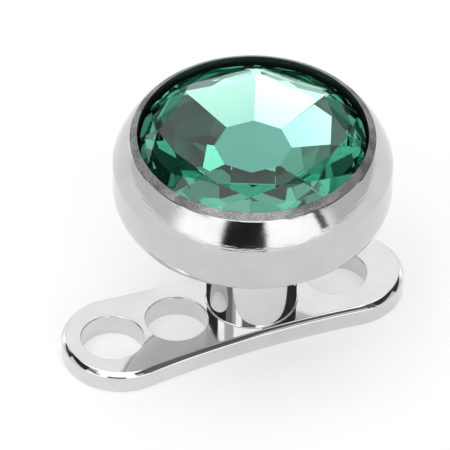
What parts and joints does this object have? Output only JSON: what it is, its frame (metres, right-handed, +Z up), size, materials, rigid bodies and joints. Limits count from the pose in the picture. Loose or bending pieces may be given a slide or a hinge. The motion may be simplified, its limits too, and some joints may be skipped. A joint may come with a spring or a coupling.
{
  "type": "dermal anchor with gem-set top",
  "caption": "Small steel body-jewellery anchor: a plate with round tissue holes, a short post, and a round cup that holds a green cut stone.",
  "frame": {"origin": "on the flat underside of the plate, on the axis of the post", "axes": "+Z up the post to the stone, +X along the plate to the heel with one hole, -X to the toe with two holes"},
  "size_m": [0.0065, 0.005, 0.0044],
  "materials": {
    "base_steel": "polished surgical steel",
    "pin_steel": "plain turned surgical steel",
    "cup_steel": "polished surgical steel with a ground lip",
    "green_crystal": "polished sea-green crystal with a mirrored back"
  },
  "bodies": {
    "root": {"anchor_base": "base_steel", "screw_pin": "pin_steel", "gem_cup": "cup_steel", "stone": "green_crystal"}
  },
  "joints": []
}
